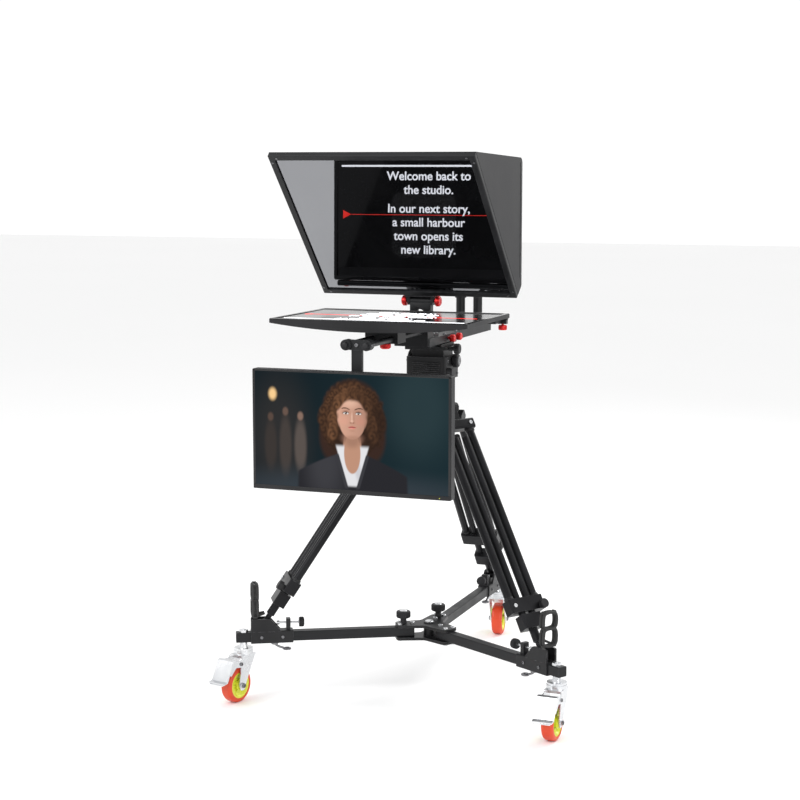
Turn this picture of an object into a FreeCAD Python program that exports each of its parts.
import FreeCAD, Part
import math
import os
import re
import Sketcher

# A rolling camera teleprompter, in millimetres. +Z is up and the floor is z = 0. The origin is the
# point of the floor under the centre of the dolly's hub. The front of the prompter faces -Y.
# The dolly's arms are modelled along +X and turned to their bearings. Everything above the tripod's
# crown is modelled about the pan axis, and then moved to where that axis stands on the dolly.

DOC = FreeCAD.newDocument("Teleprompter")
SHEET = DOC.addObject("Spreadsheet::Sheet", "Sizes")

SIZES = [
    ("Dolly", None),
    ("arm_width", 30),
    ("arm_height", 28),
    ("arm_wall", 2),
    ("arm_level", 180),
    ("arm_start", 46),
    ("arm_tip", 557),
    ("rear_reach", 115),
    ("hub_plate", 8),
    ("hub_lobe", 98),
    ("hub_boss", 17),
    ("hub_knob_at", 76),
    ("hub_knob_radius", 19.5),
    ("hub_knob_height", 20),
    ("knob_stud", 5),
    ("fit_gap", 0.06),
    ("clear_gap", 0.3),
    ("sleeve_start", 395),
    ("sleeve_length", 120),
    ("sleeve_wall", 4),
    ("foot_radius", 476),
    ("foot_level", 218),
    ("foot_pin", 3.5),
    ("clamp_level", 218),
    ("clamp_rod", 3),
    ("clamp_disc", 13.5),
    ("Casters", None),
    ("stem_radius_at", 536),
    ("stem_radius", 6),
    ("race_radius", 27),
    ("race_top", 150),
    ("fork_top", 143.7),
    ("caster_trail", 35),
    ("wheel_radius", 50),
    ("wheel_width", 34),
    ("rim_radius", 38),
    ("axle_radius", 5),
    ("fork_gap", 22),
    ("fork_wall", 3),
    ("Tripod", None),
    ("crown_back", 20),
    ("bowl_radius", 50),
    ("bowl_level", 852),
    ("bowl_wall", 7),
    ("leg_pivot_radius", 76),
    ("leg_pivot_level", 832),
    ("leg_pin", 4),
    ("leg_ear", 14),
    ("outer_tube", 11),
    ("outer_spread", 43),
    ("inner_tube", 10),
    ("inner_spread", 17),
    ("upper_length", 625),
    ("foot_ball", 12.4),
    ("Fluid head", None),
    ("head_width", 120),
    ("head_depth", 110),
    ("head_bottom", 911),
    ("head_wall_top", 975),
    ("cheek", 12.5),
    ("tilt_level", 962),
    ("cradle_top", 1005),
    ("Prompter rig", None),
    ("slide_top", 1016),
    ("base_top", 1038),
    ("base_width", 104),
    ("base_front", -175),
    ("base_back", 390),
    ("rod_radius", 7.5),
    ("rod_spread", 28),
    ("rod_level", 1057),
    ("rod_front", -590),
    ("rod_back", -125),
    ("prompter_width", 547),
    ("prompter_front", -515),
    ("prompter_back", -145),
    ("prompter_top", 1111),
    ("prompter_edge", 10),
    ("prompter_belly", 28),
    ("screen_width", 527),
    ("screen_height", 297),
    ("screen_thick", 2),
    ("Hood", None),
    ("hood_width", 568),
    ("frame_foot_y", -110),
    ("frame_foot_z", 1156),
    ("frame_head_y", -486),
    ("frame_head_z", 1538),
    ("frame_rail", 16),
    ("frame_depth", 14),
    ("glass_thick", 4),
    ("hood_wall", 4),
    ("hood_back", -75),
    ("hood_back_top", 1530),
    ("hood_back_foot", 1184),
    ("lens_half_width", 95),
    ("lens_low", 1256),
    ("lens_high", 1436),
    ("hinge_y", -92),
    ("hinge_z", 1136),
    ("hinge_rod", 4),
    ("red_knob_radius", 14),
    ("Camera stand", None),
    ("riser_radius", 13.5),
    ("riser_spread", 27),
    ("riser_y", 330),
    ("stand_top", 1250),
    ("camera_screw_radius", 3.175),
    ("camera_screw_length", 6),
    ("Talent monitor", None),
    ("monitor_width", 541),
    ("monitor_height", 312),
    ("monitor_centre", 836.5),
    ("monitor_front", -623),
    ("monitor_depth", 26),
    ("monitor_bulge", 8),
    ("panel_width", 529),
    ("panel_height", 297),
    ("post_y", -572),
    ("post_half_width", 14.5),
    ("monitor_pivot", 856),
]

ARMS = {"left": 208.7, "right": 328.7, "rear": 90}
CASTER_BEARINGS = {"left": -103.9, "right": -93, "rear": 98}
NODES = []


def fill_sheet():
    """Write each driving size into the sheet with its alias."""
    for row, (name, value) in enumerate(SIZES, start=1):
        SHEET.set(f"A{row}", name)
        if value is not None:
            SHEET.set(f"B{row}", str(value))
            SHEET.setAlias(f"B{row}", name)
    DOC.recompute()


fill_sheet()
ALIASES = {name for name, value in SIZES if value is not None}


def size(alias):
    """The value of one driving size."""
    return float(SHEET.get(alias))


def expression(text):
    """A FreeCAD expression from a formula in the sheet's aliases."""
    return re.sub(r"[a-z_]{3,}", lambda m: "Sizes." + m[0] if m[0] in ALIASES else m[0], str(text))


def value(text):
    """The number that a formula in the sheet's aliases gives now."""
    parser = SHEET.evalExpression(expression(text))
    return float(getattr(parser, "Value", parser))


def bind(thing, **formulas):
    """Bind properties of one object to formulas; Base__x stands for Placement.Base.x."""
    for name, formula in formulas.items():
        path = "Placement." + name.replace("__", ".") if "__" in name else name
        thing.setExpression(path, expression(formula))
    return thing


def put(thing, at):
    """Bind an object's position to three formulas."""
    return bind(thing, Base__x=at[0], Base__y=at[1], Base__z=at[2])


X_AXIS = FreeCAD.Rotation(FreeCAD.Vector(0, 1, 0), 90)
Y_AXIS = FreeCAD.Rotation(FreeCAD.Vector(1, 0, 0), -90)
ALONG = {"x": (X_AXIS, 0), "y": (Y_AXIS, 1), "z": (FreeCAD.Rotation(), 2)}


def box(length, width, height, at, hold="xy"):
    """A block; the letters of hold name the directions in which it is centred on its position."""
    block = DOC.addObject("Part::Box", "Block")
    bind(block, Length=length, Width=width, Height=height)
    sides = zip("xyz", (length, width, height), at)
    return put(block, [f"({p}) - ({s}) / 2" if axis in hold else p for axis, s, p in sides])


def turned(kind, height, at, along, centred, **radii):
    """A cylinder or cone along one axis, from its position or centred on it."""
    rotation, index = ALONG[along]
    solid = bind(DOC.addObject(kind, "Turned"), Height=height, **radii)
    solid.Placement.Rotation = rotation
    start = list(at)
    if centred:
        start[index] = f"({at[index]}) - ({height}) / 2"
    return put(solid, start)


def cylinder(radius, height, at, along="z", centred=False):
    """A round bar."""
    return turned("Part::Cylinder", height, at, along, centred, Radius=radius)


def cone(first, second, height, at, along="z"):
    """A tapered bar whose radius goes from first to second."""
    return turned("Part::Cone", height, at, along, False, Radius1=first, Radius2=second)


def ball(radius, at):
    """A sphere."""
    return put(bind(DOC.addObject("Part::Sphere", "Ball"), Radius=radius), at)


def join(*solids):
    """One solid from several that overlap."""
    fused = DOC.addObject("Part::MultiFuse", "Joined")
    fused.Shapes = list(solids)
    return fused


def group(*solids):
    """Several separate solids in one object."""
    compound = DOC.addObject("Part::Compound", "Group")
    compound.Links = list(solids)
    return compound


def cut(base, *tools):
    """A solid less others."""
    result = DOC.addObject("Part::Cut", "Shaped")
    result.Base = base
    result.Tool = tools[0] if len(tools) == 1 else join(*tools)
    return result


def common(first, second):
    """What two solids share."""
    result = DOC.addObject("Part::Common", "Shared")
    result.Base, result.Tool = first, second
    return result


def rounded(solid, radius, chosen):
    """Round the edges of a solid for which chosen(edge) is true."""
    DOC.recompute()
    result = DOC.addObject("Part::Fillet", "Rounded")
    result.Base = solid
    edges = enumerate(solid.Shape.Edges, start=1)
    result.Edges = [(number, radius, radius) for number, edge in edges if chosen(edge)]
    return result


def runs_along(edge, index):
    """Whether a straight edge runs along one axis: 0, 1 or 2 for X, Y or Z."""
    if not isinstance(edge.Curve, Part.Line):
        return False
    return abs(edge.Curve.Direction[index]) > 0.999


def outline(points, radii):
    """Lines and tangent arcs round a closed outline, each corner with its own radius."""
    corners = [FreeCAD.Vector(x, y, 0) for x, y in points]
    ends = []
    for index, corner in enumerate(corners):
        before = (corners[index - 1] - corner).normalize()
        after = (corners[(index + 1) % len(corners)] - corner).normalize()
        half = math.acos(max(-1, min(1, before.dot(after)))) / 2
        reach = radii[index] / math.tan(half)
        middle = (before + after).normalize() * (radii[index] / math.sin(half) - radii[index])
        ends.append((corner + before * reach, corner + middle, corner + after * reach))
    curves = []
    for index, (start, middle, end) in enumerate(ends):
        if radii[index] > 0:
            curves.append(Part.Arc(start, middle, end))
        curves.append(Part.LineSegment(end, ends[(index + 1) % len(ends)][0]))
    return curves


PLANES = {
    "xy": FreeCAD.Rotation(),
    "xz": FreeCAD.Rotation(FreeCAD.Vector(1, 0, 0), 90),
    "yz": FreeCAD.Rotation(FreeCAD.Vector(1, 1, 1), 120),
}


def plane_of(body, role):
    """One of a body's own origin planes."""
    return next(feature for feature in body.Origin.OriginFeatures if feature.Role == role)


def add_sketch(body, role, curves):
    """A sketch of closed curves on one of a body's own planes."""
    sketch = body.newObject("Sketcher::SketchObject", "Sketch")
    sketch.AttachmentSupport = (plane_of(body, role), "")
    sketch.MapMode = "FlatFace"
    sketch.addGeometry(curves, False)
    count = len(curves)
    for index in range(count):
        follower = (index + 1) % count
        first, second = next(
            (a, b)
            for a in (2, 1)
            for b in (1, 2)
            if sketch.getPoint(index, a).isEqual(sketch.getPoint(follower, b), 1e-5)
        )
        sketch.addConstraint(Sketcher.Constraint("Coincident", index, first, follower, second))
    return sketch


def plate(points, thickness, at, plane="xy", radii=0, both=True):
    """A padded outline, in the plane named, at a position; both pads it to each side equally."""
    body = DOC.addObject("PartDesign::Body", "Plate")
    corner_radii = radii if isinstance(radii, (list, tuple)) else [radii] * len(points)
    drawn = [(value(x), value(y)) for x, y in points]
    sketch = add_sketch(body, "XY_Plane", outline(drawn, corner_radii))
    pad = body.newObject("PartDesign::Pad", "Pad")
    pad.Profile = sketch
    bind(pad, Length=thickness)
    if hasattr(pad, "SideType"):
        pad.SideType = "Symmetric" if both else "One side"
    else:
        pad.Midplane = both
    sketch.Visibility = False
    body.Placement.Rotation = PLANES[plane]
    return put(body, at)


def revolved(points, at, radii=0, along="y"):
    """An outline of (radius, distance along the axis) turned a full circle about that axis."""
    body = DOC.addObject("PartDesign::Body", "Round")
    corner_radii = radii if isinstance(radii, (list, tuple)) else [radii] * len(points)
    drawn = [(value(r), value(a)) for r, a in points]
    sketch = add_sketch(body, "XZ_Plane", outline(drawn, corner_radii))
    turn = body.newObject("PartDesign::Revolution", "Revolution")
    turn.Profile = sketch
    turn.ReferenceAxis = (sketch, ["V_Axis"])
    turn.Angle = 360
    body.Placement.Rotation = ALONG[along][0]
    return put(body, at)


def node(name, solid, frame=None):
    """Name a finished sub-part and place it in its assembly's frame."""
    if solid.TypeId == "PartDesign::Body" or solid.TypeId in ("Part::Box", "Part::Cylinder"):
        solid = group(solid)
    solid.Label = name
    if frame is not None:
        solid.Placement = frame
    NODES.append(solid)
    return solid


def about_z(angle, at=(0, 0, 0)):
    """A frame turned about the vertical."""
    return FreeCAD.Placement(FreeCAD.Vector(*at), FreeCAD.Rotation(FreeCAD.Vector(0, 0, 1), angle))


def arm_angle(name):
    """The bearing of one arm of the dolly, in degrees from +X."""
    return ARMS[name]


def reach(name):
    """How far an arm is drawn out past the shortest setting, as a formula."""
    return "rear_reach" if name == "rear" else "0"


def arm_point(name, distance):
    """A point of the floor plan on one arm."""
    angle = math.radians(arm_angle(name))
    return FreeCAD.Vector(distance * math.cos(angle), distance * math.sin(angle), 0)


PAN_AXIS = arm_point("rear", size("crown_back"))
RIG = FreeCAD.Placement(PAN_AXIS, FreeCAD.Rotation())


# ---- Dolly -------------------------------------------------------------------------------------


def make_hub():
    """Two three-lobed plates on a centre boss, with a hole for each locking knob's stud."""
    points, radii = [], []
    for angle in sorted(arm_angle(name) for name in ARMS):
        across = FreeCAD.Rotation(FreeCAD.Vector(0, 0, 1), angle)
        lobe = [(size("hub_lobe"), -25), (size("hub_lobe"), 25)]
        points += [tuple(across.multVec(FreeCAD.Vector(x, y, 0)))[:2] for x, y in lobe]
        between = FreeCAD.Rotation(FreeCAD.Vector(0, 0, 1), angle + 60)
        points.append(tuple(between.multVec(FreeCAD.Vector(38, 0, 0)))[:2])
        radii += [14, 14, 16]
    top = "arm_level + arm_height / 2"
    bottom = "arm_level - arm_height / 2 - hub_plate"
    plates = [
        plate(points, "hub_plate", (0, 0, level), radii=radii, both=False) for level in (bottom, top)
    ]
    boss = cylinder("hub_boss", "arm_height + 2 * hub_plate + 3", (0, 0, bottom))
    holes = []
    for name in ("left", "rear"):
        hole = cylinder("knob_stud + fit_gap", "hub_plate + 2", (0, 0, f"{top} - 1"))
        at = arm_point(name, size("hub_knob_at"))
        hole.setExpression("Placement.Base.x", None)
        hole.setExpression("Placement.Base.y", None)
        hole.Placement.Base.x, hole.Placement.Base.y = at.x, at.y
        holes.append(hole)
    node("hub", cut(join(*plates, boss), *holes))


def make_arm(name):
    """A square tube, solid at its outer end, where the caster's stem goes through it."""
    tip = f"arm_tip + {reach(name)}"
    stem = f"stem_radius_at + {reach(name)}"
    hollow_end = f"{stem} - 20"
    tube = box(f"{tip} - arm_start", "arm_width", "arm_height", ("arm_start", 0, "arm_level"), "yz")
    hollow = box(
        f"{hollow_end} - arm_start + 1",
        "arm_width - 2 * arm_wall",
        "arm_height - 2 * arm_wall",
        ("arm_start - 1", 0, "arm_level"),
        "yz",
    )
    bore = cylinder("stem_radius + 0.2", "arm_height + 2", (stem, 0, "arm_level"), centred=True)
    body = rounded(tube, 3, lambda edge: runs_along(edge, 0))
    node(f"arm_{name}", cut(body, hollow, bore), about_z(arm_angle(name)))


def make_foot_bracket(name):
    """A sleeve on the arm with two ears and a pin that hold the tripod's foot, and a screw lug."""
    start = f"sleeve_start + {reach(name)}"
    outer = "arm_height + 2 * sleeve_wall"
    width = "arm_width + 2 * sleeve_wall"
    top = "arm_level + arm_height / 2 + sleeve_wall"
    foot = f"foot_radius + {reach(name)}"
    sleeve = rounded(
        box("sleeve_length", width, outer, (start, 0, "arm_level"), "yz"),
        4,
        lambda edge: runs_along(edge, 0),
    )
    ear_points = [
        (f"{foot} - 48", f"{top} - 2"),
        (f"{foot} - 16", "foot_level + 15"),
        (f"{foot} + 38", "foot_level + 15"),
        (f"{foot} + 38", f"{top} - 2"),
    ]
    ears = [
        plate(ear_points, 6, (0, f"{side} * 16", 0), "xz", [0, 10, 5, 0]) for side in (-1, 1)
    ]
    pin = cylinder("foot_pin", 38, (foot, 0, "foot_level"), "y", True)
    lug = box(12, 20, f"clamp_level + 12 - ({top}) + 2", (f"{start} + 13", 0, f"{top} - 2"))
    bore = box(
        "sleeve_length + 2",
        "arm_width + 2 * clear_gap",
        "arm_height + 2 * clear_gap",
        (f"{start} - 1", 0, "arm_level"),
        "yz",
    )
    screw_hole = cylinder("clamp_rod + clear_gap", 14, (f"{start} + 6", 0, "clamp_level"), "x")
    bracket = cut(join(sleeve, *ears, pin, lug), bore, screw_hole)
    bracket.Placement = about_z(arm_angle(name))
    return bracket


def make_clamp_screw(name):
    """The thumb screw that presses on the tripod's foot: knob, rod and cup."""
    start = f"sleeve_start + {reach(name)}"
    rod = cylinder("clamp_rod", 64, (f"{start} - 22", 0, "clamp_level"), "x")
    cup = cylinder(6, 8, (f"{start} + 38", 0, "clamp_level"), "x")
    disc = rounded(
        cylinder("clamp_disc", 13, (f"{start} - 31", 0, "clamp_level"), "x"), 2, lambda edge: True
    )
    node(f"clamp_screw_{name}", join(rod, cup, disc), about_z(arm_angle(name)))


def make_hub_knob(name):
    """A locking knob on the hub: stud, neck and thick disc."""
    top = "arm_level + arm_height / 2"
    seat = f"{top} + hub_plate + clear_gap"
    stud = cylinder("knob_stud", "hub_plate + 1", ("hub_knob_at", 0, f"{top} + clear_gap"))
    neck = cone(10, 8, 17, ("hub_knob_at", 0, seat))
    disc = rounded(
        cylinder("hub_knob_radius", "hub_knob_height", ("hub_knob_at", 0, f"{seat} + 17")),
        3,
        lambda edge: True,
    )
    node(f"hub_knob_{name}", join(stud, neck, disc), about_z(arm_angle(name)))


# ---- Casters -----------------------------------------------------------------------------------


def make_caster_stem(name):
    """A caster's stem through the arm's end: upper race plate, collar, stem and nut."""
    stem = f"stem_radius_at + {reach(name)}"
    under = "arm_level - arm_height / 2"
    over = "arm_level + arm_height / 2"
    race = cylinder("race_radius", 6, (stem, 0, "race_top - 6"))
    collar = cone(14, 10, f"{under} - race_top", (stem, 0, "race_top"))
    bar = cylinder("stem_radius", f"{over} + 10 - race_top", (stem, 0, "race_top - 1"))
    six = [
        (13 * math.cos(math.radians(60 * k)), 13 * math.sin(math.radians(60 * k))) for k in range(6)
    ]
    nut = plate(six, 7, (stem, 0, over), both=False)
    solid = join(race, collar, bar, nut)
    solid.Placement = about_z(arm_angle(name))
    return solid


def caster_frame(name):
    """The frame of a caster: its swivel axis at the origin and its wheel along +X."""
    distance = size("stem_radius_at") + (size("rear_reach") if name == "rear" else 0)
    return about_z(CASTER_BEARINGS[name], arm_point(name, distance))


def make_fork(name):
    """A pressed fork with its lower race, axle bolt and the pedal's pivot pins."""
    race = cylinder("race_radius + 1", 10, (0, 0, "fork_top - 10"))
    crown = box(58, "2 * (fork_gap + fork_wall)", 7, (-24, 0, "fork_top - 17"), "y")
    side = [
        (-24, "fork_top - 10"),
        (34, "fork_top - 10"),
        ("caster_trail + 15", "wheel_radius + 2"),
        ("caster_trail + 9", "wheel_radius - 14"),
        ("caster_trail - 9", "wheel_radius - 14"),
        ("caster_trail - 15", "wheel_radius + 4"),
    ]
    middle = "fork_gap + fork_wall / 2"
    legs = [
        plate(side, "fork_wall", (0, f"{sign} * ({middle})", 0), "xz", [3, 3, 10, 10, 10, 14])
        for sign in (-1, 1)
    ]
    span = "2 * (fork_gap + fork_wall)"
    axle = cylinder("axle_radius", f"{span} + 6", ("caster_trail", 0, "wheel_radius"), "y", True)
    heads = [
        cylinder(8, 3, ("caster_trail", f"{sign} * (fork_gap + fork_wall + 1.5)", "wheel_radius"), "y", True)
        for sign in (-1, 1)
    ]
    pins = [
        cylinder(4, 6, (44, f"{sign} * (fork_gap + fork_wall / 2 + 2.3)", 114), "y", True)
        for sign in (-1, 1)
    ]
    lugs = [
        plate(
            [(20, 122), (34, 126), (52, 121), (52, 106), (40, 104), (24, 100)],
            "fork_wall",
            (0, f"{sign} * ({middle})", 0),
            "xz",
            4,
        )
        for sign in (-1, 1)
    ]
    node(f"caster_fork_{name}", join(race, crown, *legs, axle, *heads, *pins, *lugs), caster_frame(name))


def make_wheel(name):
    """A moulded rim with its hub, and the tyre on it."""
    half = "wheel_width / 2"
    hub_half = "fork_gap - 0.4"
    profile = [
        ("axle_radius + fit_gap", f"-({hub_half})"),
        (13, f"-({hub_half})"),
        (15, f"-({half}) + 9"),
        (29, f"-({half}) + 7"),
        (33, f"-({half}) + 1.5"),
        ("rim_radius", f"-({half}) + 1.5"),
        ("rim_radius", f"{half} - 1.5"),
        (33, f"{half} - 1.5"),
        (29, f"{half} - 7"),
        (15, f"{half} - 9"),
        (13, hub_half),
        ("axle_radius + fit_gap", hub_half),
    ]
    at = ("caster_trail", 0, "wheel_radius")
    frame = caster_frame(name)
    node(f"caster_rim_{name}", revolved(profile, at), frame)
    tread = [
        ("rim_radius", f"-({half})"),
        ("wheel_radius", f"-({half})"),
        ("wheel_radius", half),
        ("rim_radius", half),
    ]
    node(f"caster_tyre_{name}", revolved(tread, at, [0, 9, 9, 0]), frame)


def make_pedal(name):
    """The brake pedal: two cheeks on the fork's pins and a stepped plate between them."""
    inner = "fork_gap + fork_wall + 0.4"
    cheek = [(36, 122), (50, 124), (80, 128), (96, 92), (88, 88), (66, 108), (44, 104), (36, 106)]
    cheeks = [
        plate(cheek, 2.4, (0, f"{sign} * ({inner} + 1.2)", 0), "xz", [5, 3, 3, 2, 2, 6, 6, 5])
        for sign in (-1, 1)
    ]
    tread = [(66, 127), (69, 130.5), (80, 129), (107, 75.5), (121, 73), (121, 69.5), (104, 72), (77, 125)]
    sheet = plate(tread, f"2 * ({inner} + 2.4)", (0, 0, 0), "xz", [0, 1, 3, 1, 0, 0, 3, 2])
    holes = [
        cylinder("4 + fit_gap", 8, (44, f"{sign} * ({inner} + 1)", 114), "y", True) for sign in (-1, 1)
    ]
    node(f"caster_pedal_{name}", cut(join(sheet, *cheeks), *holes), caster_frame(name))


# ---- Tripod ------------------------------------------------------------------------------------


def foot_point(name):
    """The centre of the tripod's foot on one arm."""
    distance = size("foot_radius") + (size("rear_reach") if name == "rear" else 0)
    at = arm_point(name, distance)
    at.z = size("foot_level")
    return at


def leg_run(name):
    """One leg's bearing from the crown, its lean from the vertical and its length to the foot."""
    flat = foot_point(name) - PAN_AXIS
    out = math.hypot(flat.x, flat.y) - size("leg_pivot_radius")
    down = size("leg_pivot_level") - size("foot_level")
    bearing = math.degrees(math.atan2(flat.y, flat.x))
    return bearing, math.degrees(math.atan2(out, down)), math.hypot(out, down)


def leg_frame(name):
    """A leg's frame: its top pivot at the origin and the leg hanging along -Z."""
    bearing, lean, _ = leg_run(name)
    turn = FreeCAD.Rotation(FreeCAD.Vector(0, 0, 1), bearing)
    swing = FreeCAD.Rotation(FreeCAD.Vector(0, 1, 0), -lean)
    out = turn.multVec(FreeCAD.Vector(size("leg_pivot_radius"), 0, 0))
    out.z = size("leg_pivot_level")
    return FreeCAD.Placement(PAN_AXIS + out, turn * swing)


def make_crown():
    """The ring that the legs hang from, with three pairs of ears and their pins."""
    ring = cylinder("bowl_radius + bowl_wall + 4", 32, (0, 0, "bowl_level - 34"))
    seat = cylinder("bowl_radius + bowl_wall + clear_gap", 34, (0, 0, "bowl_level - 35"))
    parts = []
    for name in ARMS:
        bearing = leg_run(name)[0]
        ears = [
            plate(
                [
                    ("bowl_radius", "leg_pivot_level - 14"),
                    ("leg_pivot_radius + leg_ear", "leg_pivot_level - 14"),
                    ("leg_pivot_radius + leg_ear", "leg_pivot_level + 14"),
                    ("bowl_radius", "leg_pivot_level + 14"),
                ],
                10,
                (0, f"{side} * 21", 0),
                "xz",
                [0, 13, 13, 0],
            )
            for side in (-1, 1)
        ]
        pin = cylinder("leg_pin", 56, ("leg_pivot_radius", 0, "leg_pivot_level"), "y", True)
        lug = join(*ears, pin)
        lug.Placement = about_z(bearing)
        parts.append(lug)
    node("crown", cut(join(ring, *parts), seat), RIG)


def make_bowl():
    """The half-round bowl that the levelling ball sits in, open at the top and bored below."""
    outside = ball("bowl_radius + bowl_wall", (0, 0, "bowl_level"))
    inside = ball("bowl_radius + clear_gap", (0, 0, "bowl_level"))
    above = box(140, 140, 80, (0, 0, "bowl_level"))
    bore = cylinder(11, 60, (0, 0, "bowl_level - 80"))
    node("bowl", cut(outside, inside, above, bore), RIG)


def make_levelling_ball():
    """The half ball under the head, with its tie rod and the clamp handle below the bowl."""
    whole = ball("bowl_radius", (0, 0, "bowl_level"))
    above = box(140, 140, 80, (0, 0, "bowl_level + 3"))
    rod = cylinder(6, 100, (0, 0, "bowl_level - 120"))
    washer = cylinder(20, 5, (0, 0, "bowl_level - 64"))
    handle = rounded(
        cylinder(22, 34, (0, 0, "bowl_level - 118")), 6, lambda edge: True
    )
    flange = cylinder(40, 3.5, (0, 0, "bowl_level + 2"))
    node("levelling_ball", join(cut(whole, above), rod, washer, handle, flange), RIG)


def make_upper_leg(name):
    """Two tubes between a top casting with its tongue and a bottom casting with two bores."""
    tongue = cylinder("leg_ear", 31, (0, 0, 0), "y", True)
    web = box(24, 31, 44, (0, 0, -44))
    head = rounded(
        box(32, "2 * outer_spread + 28", 30, (0, 0, -72)), 6, lambda edge: runs_along(edge, 1)
    )
    tubes = [
        cylinder("outer_tube", "upper_length - 80", (0, f"{side} * outer_spread", "-upper_length + 20"))
        for side in (-1, 1)
    ]
    casting = rounded(
        box(36, "2 * outer_spread + 30", 40, (0, 0, "-upper_length")), 5, lambda edge: runs_along(edge, 2)
    )
    pin_hole = cylinder("leg_pin + fit_gap", 40, (0, 0, 0), "y", True)
    bores = [
        cylinder("inner_tube + clear_gap", 44, (0, f"{side} * inner_spread", "-upper_length - 2"))
        for side in (-1, 1)
    ]
    stud_hole = cylinder("knob_stud + fit_gap", 14, (6, 42, "-upper_length + 8"), "x")
    solid = cut(join(tongue, web, head, *tubes, casting), pin_hole, *bores, stud_hole)
    node(f"upper_leg_{name}", solid, leg_frame(name))


def make_lower_leg(name):
    """Two inner tubes on a block, with the foot tube and a bored ball at its end."""
    length = leg_run(name)[2]
    drawn_out = length - leg_run("left")[2]
    block_top = -(size("upper_length") + 7 + drawn_out)
    tubes = [
        cylinder("inner_tube", "upper_length - 78", (0, f"{side} * inner_spread", block_top - 10))
        for side in (-1, 1)
    ]
    block = rounded(box(36, 68, 40, (0, 0, block_top - 40)), 6, lambda edge: runs_along(edge, 2))
    neck_end = 30
    foot_tube = cylinder(12, length + block_top - 35 - neck_end, (0, 0, neck_end - length))
    neck = cylinder(8, neck_end, (0, 0, -length))
    eye = ball("foot_ball", (0, 0, -length))
    hole = cylinder(8, 30, (0, 0, -length), "y", True)
    node(f"lower_leg_{name}", cut(join(*tubes, block, foot_tube, neck, eye), hole), leg_frame(name))


def make_leg_knob(name):
    """The leg's locking knob on the bottom casting."""
    level = "-upper_length + 8"
    stud = cylinder("knob_stud", 11, (8, 42, level), "x")
    neck = cylinder(8, 6, ("18 + clear_gap", 42, level), "x")
    disc = rounded(cylinder(13, 14, (24, 42, level), "x"), 2, lambda edge: True)
    node(f"leg_knob_{name}", join(stud, neck, disc), leg_frame(name))


# ---- Fluid head --------------------------------------------------------------------------------


def make_head_base():
    """The panning base: a tapered neck under a box whose two cheeks carry the tilt axle."""
    neck = cone(38, 50, "head_bottom - bowl_level - 5.8", (0, 0, "bowl_level + 5.8"))
    block = rounded(
        box("head_width", "head_depth", "head_wall_top - head_bottom", (0, 0, "head_bottom")),
        7,
        lambda edge: runs_along(edge, 2),
    )
    slot = box(
        "head_width - 2 * cheek",
        "head_depth - 12",
        "head_wall_top - head_bottom",
        (0, 0, "head_bottom + 9"),
    )
    axle = cylinder("8 + fit_gap", "head_width + 2", (0, 0, "tilt_level"), "x", True)
    node("head_base", cut(join(neck, block), slot, axle), RIG)


def make_head_cradle():
    """The tilting cradle: a drum on its axle, a block and the rails of the sliding plate."""
    inner = "head_width - 2 * cheek - 2 * clear_gap"
    drum = cylinder(30, inner, (0, 0, "tilt_level"), "x", True)
    axle = cylinder(8, "head_width", (0, 0, "tilt_level"), "x", True)
    block = box(inner, 80, "cradle_top - 9 - tilt_level", (0, 0, "tilt_level"))
    deck = rounded(
        box(124, 120, 9, (0, 0, "cradle_top - 9.7")), 3, lambda edge: runs_along(edge, 2)
    )
    rails = [box(11, 112, 8, (f"{side} * 40", 0, "cradle_top - 1.7")) for side in (-1, 1)]
    wing = plate(
        [
            (-96, "cradle_top + 6"),
            (-40, "cradle_top + 6"),
            (-40, "cradle_top - 9"),
            (-58, "cradle_top - 9"),
        ],
        60,
        (0, 0, 0),
        "xz",
        [2, 0, 0, 2],
    )
    knob_hole = cylinder("3 + fit_gap", 24, (40, -40, "cradle_top - 5.2"), "x")
    node("head_cradle", cut(join(drum, axle, block, deck, *rails, wing), knob_hole), RIG)


def make_head_controls():
    """The tilt drag dial, the tilt lock lever and the plate's release knob."""
    side = "head_width / 2 + clear_gap"
    dial = rounded(cylinder(18, 18, (f"{side} + 2", 0, "tilt_level"), "x"), 4, lambda edge: True)
    washer = cylinder(14, 3, (side, 0, "tilt_level"), "x")
    node("tilt_dial", join(dial, washer), RIG)
    hub = cylinder(9, 12, (side, -44, "head_bottom + 26"), "x")
    blade_points = [
        (-52, "head_bottom + 21"),
        (-50, "head_bottom + 33"),
        (-38, "head_bottom + 33"),
        (-30, "head_bottom - 5"),
        (-38, "head_bottom - 9"),
    ]
    blade = plate(blade_points, 7, (f"{side} + 12", 0, 0), "yz", 3)
    node("tilt_lever", join(hub, blade), RIG)
    stud = cylinder(3, 20, (44, -40, "cradle_top - 5.2"), "x")
    neck = cylinder(6, 18, (62.5, -40, "cradle_top - 5.2"), "x")
    knob = rounded(
        cylinder(14, 16, (80, -40, "cradle_top - 5.2"), "x"), 2.5, lambda edge: True
    )
    node("plate_knob", join(stud, neck, knob), RIG)


# ---- Prompter rig ------------------------------------------------------------------------------


def make_slide_plate():
    """The sliding camera plate that the rig is bolted to."""
    height = "slide_top - cradle_top"
    node("slide_plate", box(66, 230, height, (0, 0, "cradle_top")), RIG)


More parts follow.
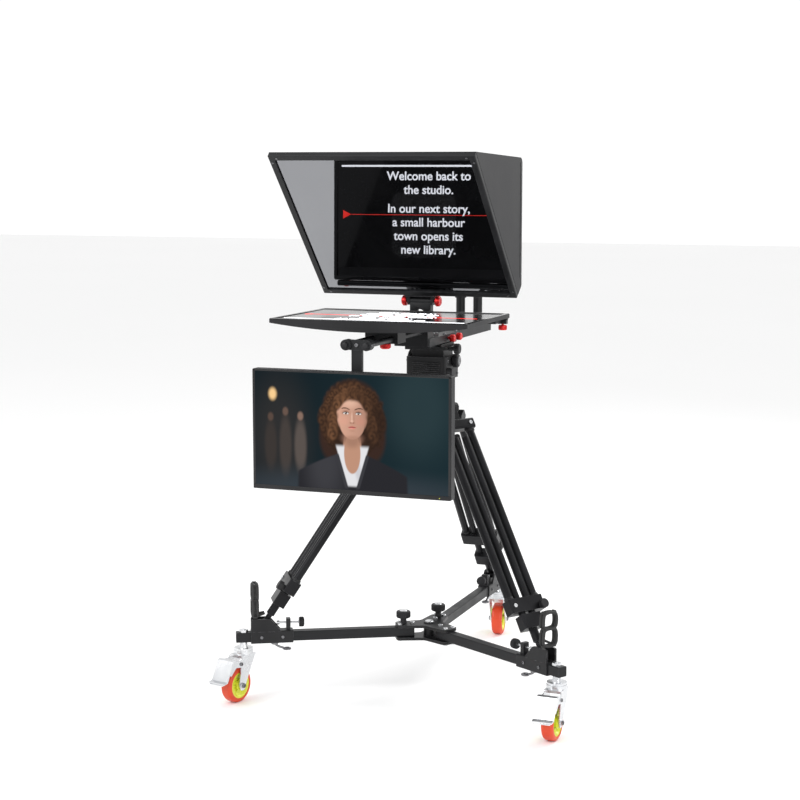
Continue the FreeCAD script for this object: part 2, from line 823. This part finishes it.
def make_base_plate():
    """The rig's base: a long plate with the block that grips the two rods at its front."""
    length = "base_back - base_front"
    long_plate = rounded(
        box("base_width", length, "base_top - slide_top", (0, "base_front", "slide_top"), "x"),
        8,
        lambda edge: runs_along(edge, 2),
    )
    grip = rounded(
        box(96, 50, "rod_level + 16 - base_top + 4", (0, "base_front", "base_top - 4"), "x"),
        5,
        lambda edge: runs_along(edge, 1),
    )
    bores = [
        cylinder("rod_radius + fit_gap", 54, (f"{side} * rod_spread", "base_front - 2", "rod_level"), "y")
        for side in (-1, 1)
    ]
    groove = box(30, 240, 8, (0, 20, "base_top - 6"), "x")
    node("base_plate", cut(join(long_plate, grip), *bores, groove), RIG)


def make_rods():
    """The pair of rods that run forward from the base."""
    rods = [
        cylinder("rod_radius", "rod_back - rod_front", (f"{side} * rod_spread", "rod_front", "rod_level"), "y")
        for side in (-1, 1)
    ]
    node("support_rods", group(*rods), RIG)


def make_tray():
    """The prompter monitor's tray: a rod clamp, a centre plate and a round bar behind it."""
    under = "prompter_top - prompter_belly - 6.5"
    bar_y = "prompter_back + 9"
    block_foot = "prompter_top - 28"
    clamp = box(92, 60, f"{under} - (rod_level - 12)", (0, -403, "rod_level - 12"), "x")
    spine = box(120, "prompter_back + 15 + 420", 6, (0, -420, under), "x")
    upright = box(120, 12, f"prompter_top - 10 - ({under})", (0, bar_y, under))
    bar = cylinder(8, 528, (0, bar_y, "prompter_top - 10"), "x", True)
    blocks = [box(24, 16, 18, (f"{side} * 250", bar_y, block_foot)) for side in (-1, 1)]
    bores = [
        cylinder("rod_radius + fit_gap", 64, (f"{side} * rod_spread", -405, "rod_level"), "y")
        for side in (-1, 1)
    ]
    stud = cylinder("4 + fit_gap", 16, (0, -373, "rod_level - 14"))
    screws = [
        cylinder("3.5 + fit_gap", 14, (f"{side} * 250", bar_y, f"{block_foot} - 1"))
        for side in (-1, 1)
    ]
    solid = cut(join(clamp, spine, upright, bar, *blocks), *bores, stud, *screws)
    node("monitor_tray", solid, RIG)


def make_rig_knobs():
    """The red thumb screws: under the rods, on the side of the base and under the cross bar."""
    stud = cylinder(4, 14, (0, -373, "rod_level - 16"))
    disc = rounded(
        cylinder("red_knob_radius", 13, (0, -373, "rod_level - 27")), 2, lambda edge: True
    )
    node("rod_knob", join(stud, disc), RIG)
    side_knobs = []
    for place in (-14, 43):
        neck = cylinder(4, 8, ("base_width / 2", place, "base_top - 11"), "x")
        disc_at = ("base_width / 2 + 6", place, "base_top - 11")
        head = rounded(cylinder(10, 14, disc_at, "x"), 2, lambda edge: True)
        side_knobs.append(join(neck, head))
    node("side_knobs", group(*side_knobs), RIG)
    floor = "prompter_top - 28"
    tray_knobs = []
    for side in (-1, 1):
        screw = cylinder(3.5, 15, (f"{side} * 250", "prompter_back + 9", f"{floor} - 5"))
        disc_at = (f"{side} * 250", "prompter_back + 9", f"{floor} - 17")
        head = rounded(cylinder(11, 14, disc_at), 2, lambda edge: True)
        tray_knobs.append(join(screw, head))
    node("tray_knobs", group(*tray_knobs), RIG)


def make_prompter_monitor():
    """The face-up monitor: a shell with a bowed underside, and its screen let into the top."""
    half, low = "prompter_width / 2", "prompter_top - prompter_edge"
    body = DOC.addObject("PartDesign::Body", "Shell")
    left = FreeCAD.Vector(-value(half), value(low), 0)
    right = FreeCAD.Vector(value(half), value(low), 0)
    bottom = FreeCAD.Vector(0, value("prompter_top - prompter_belly"), 0)
    top_left = FreeCAD.Vector(-value(half), value("prompter_top"), 0)
    top_right = FreeCAD.Vector(value(half), value("prompter_top"), 0)
    curves = [
        Part.Arc(left, bottom, right),
        Part.LineSegment(right, top_right),
        Part.LineSegment(top_right, top_left),
        Part.LineSegment(top_left, left),
    ]
    pad = body.newObject("PartDesign::Pad", "Pad")
    pad.Profile = add_sketch(body, "XY_Plane", curves)
    bind(pad, Length="prompter_back - prompter_front")
    body.Placement.Rotation = PLANES["xz"]
    put(body, (0, "prompter_back", 0))
    shell = rounded(body, 6, lambda edge: runs_along(edge, 2))
    middle = "(prompter_front + prompter_back) / 2"
    recess = box(
        "screen_width + 0.6",
        "screen_height + 0.6",
        "screen_thick + 1",
        (0, middle, "prompter_top - screen_thick - 0.1"),
    )
    node("prompter_housing", cut(shell, recess), RIG)
    screen = box(
        "screen_width", "screen_height", "screen_thick", (0, middle, "prompter_top - screen_thick")
    )
    node("prompter_screen", screen, RIG)


def make_camera_stand():
    """Two risers on a foot, with the camera plate and its screw on top."""
    foot = box(90, 90, 8, (0, "riser_y", "base_top"))
    top = "stand_top - 12"
    risers = [
        cylinder("riser_radius", f"{top} - base_top", (f"{side} * riser_spread", "riser_y", "base_top"))
        for side in (-1, 1)
    ]
    collar = cylinder(17, 22, ("-riser_spread", "riser_y", "base_top + 78"))
    thumb = cylinder(5, 12, ("-riser_spread - 26", "riser_y", "base_top + 89"), "x")
    deck = rounded(
        box(120, 170, 12, (0, "riser_y", top)), 6, lambda edge: runs_along(edge, 2)
    )
    screw = cylinder("camera_screw_radius", "camera_screw_length + 1", (0, "riser_y - 20", "stand_top - 1"))
    node("camera_stand", join(foot, *risers, collar, thumb, deck, screw), RIG)


# ---- Hood --------------------------------------------------------------------------------------


def make_hood_post():
    """The upright behind the prompter monitor that carries the hood's hinge, with an arched window."""
    upright = box(61, 22, "hinge_z - base_top", (0, "hinge_y", "base_top"))
    barrel = cylinder(11, 61, (0, "hinge_y", "hinge_z"), "x", True)
    foot = box(88, 36, 8, (0, "hinge_y", "base_top"))
    window = box(24, 30, 40, (0, "hinge_y", "base_top + 34"))
    arch = cylinder(12, 30, (0, "hinge_y", "base_top + 74"), "y", True)
    hole = cylinder("hinge_rod + fit_gap", 80, (0, "hinge_y", "hinge_z"), "x", True)
    node("hood_post", cut(join(upright, barrel, foot), window, arch, hole), RIG)


def make_hood_hinge():
    """The bracket under the glass frame: a top bar and two tapered cheeks outside the post."""
    foot, rise, run = glass_slope()
    front = (foot[0] - 0.9 * rise, foot[1] - 0.9 * -run)
    top = (foot[0] + rise, foot[1] - run)
    low = value("hinge_z") + 12.5
    bar = plate(
        [(front[0], low), front, top, (-72, top[1]), (-72, low)], 84, (0, 0, 0), "yz", [0, 0, 0, 3, 3]
    )
    cheeks = [
        plate(
            [
                (f"{side} * 31", "hinge_z + 16"),
                (f"{side} * 42", "hinge_z + 16"),
                (f"{side} * 36", "hinge_z - 11"),
                (f"{side} * 31", "hinge_z - 11"),
            ],
            26,
            (0, "hinge_y", 0),
            "xz",
        )
        for side in (-1, 1)
    ]
    hole = cylinder("hinge_rod + fit_gap", 110, (0, "hinge_y", "hinge_z"), "x", True)
    node("hood_hinge", cut(join(bar, *cheeks), hole), RIG)


def make_hinge_knobs():
    """The hinge's through rod with a red knob at each end."""
    rod = cylinder("hinge_rod", 92, (0, "hinge_y", "hinge_z"), "x", True)
    knobs = [
        rounded(
            cylinder("red_knob_radius", 12, (f"{side} * 48.5", "hinge_y", "hinge_z"), "x", True),
            2,
            lambda edge: True,
        )
        for side in (-1, 1)
    ]
    node("hinge_knobs", join(rod, *knobs), RIG)


def glass_slope():
    """The frame's lower edge in the YZ plane, and half its depth as a rise and a run."""
    run = size("frame_head_y") - size("frame_foot_y")
    rise = size("frame_head_z") - size("frame_foot_z")
    slant = math.hypot(run, rise)
    half = size("frame_depth") / 2
    return (size("frame_foot_y"), size("frame_foot_z")), rise / slant * half, run / slant * half


def glass_frame_placement():
    """The frame of the slanted glass: local Y up the slope, local Z out of its front face."""
    run = size("frame_head_y") - size("frame_foot_y")
    rise = size("frame_head_z") - size("frame_foot_z")
    slope = math.degrees(math.atan2(rise, run))
    local = FreeCAD.Placement(
        FreeCAD.Vector(0, size("frame_foot_y"), size("frame_foot_z")),
        FreeCAD.Rotation(FreeCAD.Vector(1, 0, 0), slope),
    )
    return RIG * local


def make_glass_and_frame():
    """Four mitred rails with a groove, and the beam-splitter glass that sits in it."""
    slant = math.hypot(
        size("frame_head_y") - size("frame_foot_y"), size("frame_head_z") - size("frame_foot_z")
    )
    outer = box("hood_width", slant, "frame_depth", (0, 0, 0), "xz")
    window = box(
        "hood_width - 2 * frame_rail", f"{slant} - 2 * frame_rail", 40, (0, "frame_rail", 0), "xz"
    )
    groove = box(
        "hood_width - 2 * frame_rail + 9",
        f"{slant} - 2 * frame_rail + 9",
        "glass_thick + 0.6",
        (0, "frame_rail - 4.5", 0),
        "xz",
    )
    rim = rounded(outer, 2.5, lambda edge: True)
    node("glass_frame", cut(rim, window, groove), glass_frame_placement())
    glass = box(
        "hood_width - 2 * frame_rail + 8",
        f"{slant} - 2 * frame_rail + 8",
        "glass_thick",
        (0, "frame_rail - 4", 0),
        "xz",
    )
    node("beam_splitter", glass, glass_frame_placement())


def make_hood_shell():
    """The hood behind the glass: top, sides, floor and back, open at the glass and at the lens."""
    run = value("frame_head_y - frame_foot_y")
    rise = value("frame_head_z - frame_foot_z")
    slant = math.hypot(run, rise)
    back_off = value("frame_depth / 2") + value("clear_gap")
    shift = (rise / slant * back_off, -run / slant * back_off)
    foot = (value("frame_foot_y") + shift[0], value("frame_foot_z") + shift[1])
    head = (value("frame_head_y") + shift[0], value("frame_head_z") + shift[1])
    rear = value("hood_back")
    outer = [foot, head, (rear, value("hood_back_top")), (rear, value("hood_back_foot"))]
    shell = plate(outer, "hood_width", (0, 0, 0), "yz", [0, 0, 18, 10])
    wall = value("hood_wall")
    past = 20
    inner = [
        (foot[0] - past * rise / slant + wall * 1.4, foot[1] + past * run / slant + wall * 1.4),
        (head[0] - past * rise / slant + wall * 1.4, head[1] + past * run / slant - wall * 1.2),
        (head[0] + wall, head[1] - wall),
        (rear - wall, value("hood_back_top") - wall),
        (rear - wall, value("hood_back_foot") + wall * 0.7),
        (foot[0] + wall * 1.4, foot[1] + wall * 2.2),
    ]
    hollow = plate(inner, "hood_width - 2 * hood_wall", (0, 0, 0), "yz", [0, 0, 0, 14, 6, 0])
    lens = rounded(
        box(
            "2 * lens_half_width",
            40,
            "lens_high - lens_low",
            (0, "hood_back", "(lens_low + lens_high) / 2"),
            "xyz",
        ),
        30,
        lambda edge: runs_along(edge, 1),
    )
    node("hood_shell", cut(shell, hollow, lens), RIG)


# ---- Talent monitor ----------------------------------------------------------------------------


def make_hanger():
    """The hanger: two rings on the rods joined by a cross bar, with a flat post hanging down."""
    rings = [
        cylinder(14, 24, (f"{side} * rod_spread", "post_y", "rod_level"), "y", True) for side in (-1, 1)
    ]
    bar = box("2 * rod_spread", 12, 26, (0, "post_y", "rod_level"), "xyz")
    post = box(
        "2 * post_half_width", 10, "rod_level - monitor_pivot + 8", (0, "post_y", "monitor_pivot - 8")
    )
    boss = cylinder(10, "2 * post_half_width", (0, "post_y", "monitor_pivot"), "x", True)
    bores = [
        cylinder("rod_radius + fit_gap", 30, (f"{side} * rod_spread", "post_y", "rod_level"), "y", True)
        for side in (-1, 1)
    ]
    pin_hole = cylinder("4 + fit_gap", 40, (0, "post_y", "monitor_pivot"), "x", True)
    node("hanger", cut(join(*rings, bar, post, boss), *bores, pin_hole), RIG)


def make_tilt_plate():
    """The plate on the monitor's back with two ears and the tilt pin."""
    back = "monitor_front + monitor_depth + monitor_bulge"
    flat = rounded(
        box(110, 4, 110, (0, back, "monitor_pivot - 20"), "xz"), 8, lambda edge: runs_along(edge, 1)
    )
    ears = []
    for side in (-1, 1):
        middle = f"{side} * (post_half_width + 3.4)"
        arm = box(6, f"post_y - ({back}) - 2", 20, (middle, f"{back} + 2", "monitor_pivot"), "xz")
        ears += [arm, cylinder(10, 6, (middle, "post_y", "monitor_pivot"), "x", True)]
    pin = cylinder(4, 52, (0, "post_y", "monitor_pivot"), "x", True)
    node("tilt_plate", join(flat, *ears, pin), RIG)


def make_talent_monitor():
    """The monitor for the presenter: a shell with a raised back, and its panel in the front."""
    shell = rounded(
        box(
            "monitor_width",
            "monitor_depth",
            "monitor_height",
            (0, "monitor_front", "monitor_centre"),
            "xz",
        ),
        4,
        lambda edge: runs_along(edge, 1),
    )
    bulge = rounded(
        box(
            360,
            "monitor_bulge + 2",
            200,
            (0, "monitor_front + monitor_depth - 2", "monitor_centre - 10"),
            "xz",
        ),
        12,
        lambda edge: runs_along(edge, 1),
    )
    raised = 3.5
    recess = box(
        "panel_width + 0.6",
        "screen_thick + 0.1 + 5",
        "panel_height + 0.6",
        (0, "monitor_front - 5", f"monitor_centre + {raised}"),
        "xz",
    )
    node("monitor_housing", cut(join(shell, bulge), recess), RIG)
    panel = box(
        "panel_width", "screen_thick", "panel_height", (0, "monitor_front", f"monitor_centre + {raised}"), "xz"
    )
    node("monitor_screen", panel, RIG)


def build():
    """Make every sub-part."""
    make_hub()
    for name in ARMS:
        make_arm(name)
        make_clamp_screw(name)
        make_fork(name)
        make_wheel(name)
        make_pedal(name)
        make_upper_leg(name)
        make_lower_leg(name)
        make_leg_knob(name)
    node("foot_brackets", group(*[make_foot_bracket(name) for name in ARMS]))
    node("caster_stems", group(*[make_caster_stem(name) for name in ARMS]))
    for name in ("left", "rear"):
        make_hub_knob(name)
    make_crown()
    make_bowl()
    make_levelling_ball()
    make_head_base()
    make_head_cradle()
    make_head_controls()
    make_slide_plate()
    make_base_plate()
    make_rods()
    make_tray()
    make_rig_knobs()
    make_prompter_monitor()
    make_camera_stand()
    make_hood_post()
    make_hood_hinge()
    make_hinge_knobs()
    make_glass_and_frame()
    make_hood_shell()
    make_hanger()
    make_tilt_plate()
    make_talent_monitor()
    DOC.recompute()


def check():
    """Stop if any object failed or any sub-part has no valid solid."""
    for thing in DOC.Objects:
        if "Invalid" in thing.State or "Error" in thing.State:
            raise SystemExit(f"{thing.Name} ({thing.Label}) failed: {thing.State}")
    for part in NODES:
        shape = part.Shape
        if shape.isNull() or not shape.isValid() or not shape.Solids:
            raise SystemExit(f"{part.Label} has no valid solid")
        print(part.Label, len(shape.Solids), round(shape.Volume))


def export():
    """Write each sub-part to its own file."""
    os.makedirs("parts", exist_ok=True)
    for part in NODES:
        part.Shape.exportStep(f"parts/{part.Label}.step")


build()
check()
export()
